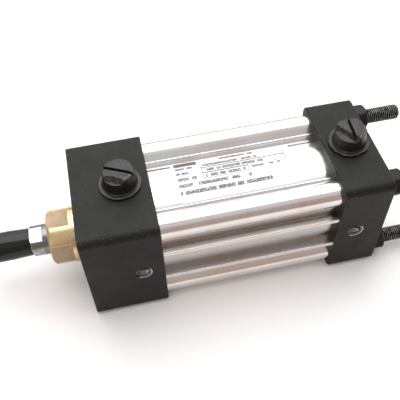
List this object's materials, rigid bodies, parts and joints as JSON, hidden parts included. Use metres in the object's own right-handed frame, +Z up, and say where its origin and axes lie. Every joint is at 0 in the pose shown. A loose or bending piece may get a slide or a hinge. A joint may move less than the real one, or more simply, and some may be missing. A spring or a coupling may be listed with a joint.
{
  "type": "pneumatic cylinder",
  "caption": "Square-ended tie-rod air cylinder with a fluted round barrel, sliding and turning rod, bronze gland, side cushion needles and plugged top ports.",
  "frame": {"origin": "centre of the head's front face, where the rod gland comes out, on the bore's axis", "axes": "+X along the bore from the rod end to the cap end, so the rod points to -X; +Z up, towards the ports; the cushion needles are on the -Y face"},
  "size_m": [0.2345, 0.0636, 0.074],
  "materials": {
    "black_anodised": "satin black anodised",
    "barrel_aluminium": "bright drawn",
    "label_film": "printed film, no lettering",
    "gland_bronze": "turned bearing bronze",
    "rod_chrome": "hard chrome",
    "stud_steel": "oiled steel thread",
    "tie_rod_steel": "black oxide",
    "nut_steel": "black oxide",
    "plug_plastic": "moulded black",
    "protector_plastic": "shiny black vinyl",
    "needle_steel": "bright steel",
    "retainer_steel": "spring steel",
    "seal_rubber": "black",
    "seal_urethane": "dark polyurethane",
    "wear_ring_plastic": "filled nylon",
    "piston_aluminium": "turned",
    "magnet_ferrite": "bonded ferrite",
    "cushion_steel": "ground"
  },
  "bodies": {
    "barrel": {"head": "black_anodised", "cap": "black_anodised", "barrel_tube": "barrel_aluminium", "rating_label": "label_film", "rod_gland": "gland_bronze", "rod_wiper": "seal_urethane", "rod_seal": "seal_urethane", "gland_o_ring": "seal_rubber", "tie_rod_1": "tie_rod_steel", "tie_rod_2": "tie_rod_steel", "tie_rod_3": "tie_rod_steel", "tie_rod_4": "tie_rod_steel", "tie_rod_nut_1": "nut_steel", "tie_rod_nut_2": "nut_steel", "tie_rod_nut_3": "nut_steel", "tie_rod_nut_4": "nut_steel", "head_tube_seal": "seal_rubber", "head_cushion_seal": "seal_urethane", "head_cushion_retainer": "retainer_steel", "head_needle_retainer": "retainer_steel", "cap_tube_seal": "seal_rubber", "cap_cushion_seal": "seal_urethane", "cap_cushion_retainer": "retainer_steel", "cap_needle_retainer": "retainer_steel"},
    "piston_rings": {"piston_seal_front": "seal_rubber", "piston_seal_rear": "seal_rubber", "piston_wear_ring": "wear_ring_plastic"},
    "rod": {"piston_rod": "rod_chrome", "rod_end_stud": "stud_steel", "piston": "piston_aluminium", "piston_magnet": "magnet_ferrite", "piston_o_ring": "seal_rubber", "front_cushion_sleeve": "cushion_steel", "rear_cushion_spear": "cushion_steel"},
    "protector": {"thread_protector": "protector_plastic"},
    "head_needle_ring": {"head_needle_seal": "seal_rubber"},
    "head_needle": {"head_cushion_needle": "needle_steel"},
    "cap_needle_ring": {"cap_needle_seal": "seal_rubber"},
    "cap_needle": {"cap_cushion_needle": "needle_steel"},
    "head_plug": {"head_port_plug": "plug_plastic"},
    "cap_plug": {"cap_port_plug": "plug_plastic"}
  },
  "joints": [
    {"name": "rod_slide", "type": "slide", "parent": "barrel", "child": "piston_rings", "axis": [-1, 0, 0], "range_m": [0, 0.0508]},
    {"name": "rod_spin", "type": "hinge", "parent": "piston_rings", "child": "rod", "pos_m": [0, 0, 0], "axis": [1, 0, 0], "continuous": true},
    {"name": "protector_pull", "type": "slide", "parent": "rod", "child": "protector", "axis": [-1, 0, 0], "range_m": [0, 0.035]},
    {"name": "head_needle_travel", "type": "slide", "parent": "barrel", "child": "head_needle_ring", "axis": [0, -1, 0], "range_m": [0, 0.0012]},
    {"name": "head_needle_turn", "type": "hinge", "parent": "head_needle_ring", "child": "head_needle", "pos_m": [0.0274, -0.03175, 0], "axis": [0, -1, 0], "range_deg": [0, 720]},
    {"name": "cap_needle_travel", "type": "slide", "parent": "barrel", "child": "cap_needle_ring", "axis": [0, -1, 0], "range_m": [0, 0.0012]},
    {"name": "cap_needle_turn", "type": "hinge", "parent": "cap_needle_ring", "child": "cap_needle", "pos_m": [0.1369, -0.03175, 0], "axis": [0, -1, 0], "range_deg": [0, 720]},
    {"name": "head_plug_pull", "type": "slide", "parent": "barrel", "child": "head_plug", "axis": [0, 0, 1], "range_m": [0, 0.022]},
    {"name": "cap_plug_pull", "type": "slide", "parent": "barrel", "child": "cap_plug", "axis": [0, 0, 1], "range_m": [0, 0.022]}
  ],
  "couplings": [
    {"joint": "head_needle_turn", "follows": "head_needle_travel", "rad_per_m": 10472},
    {"joint": "cap_needle_turn", "follows": "cap_needle_travel", "rad_per_m": 10472}
  ]
}
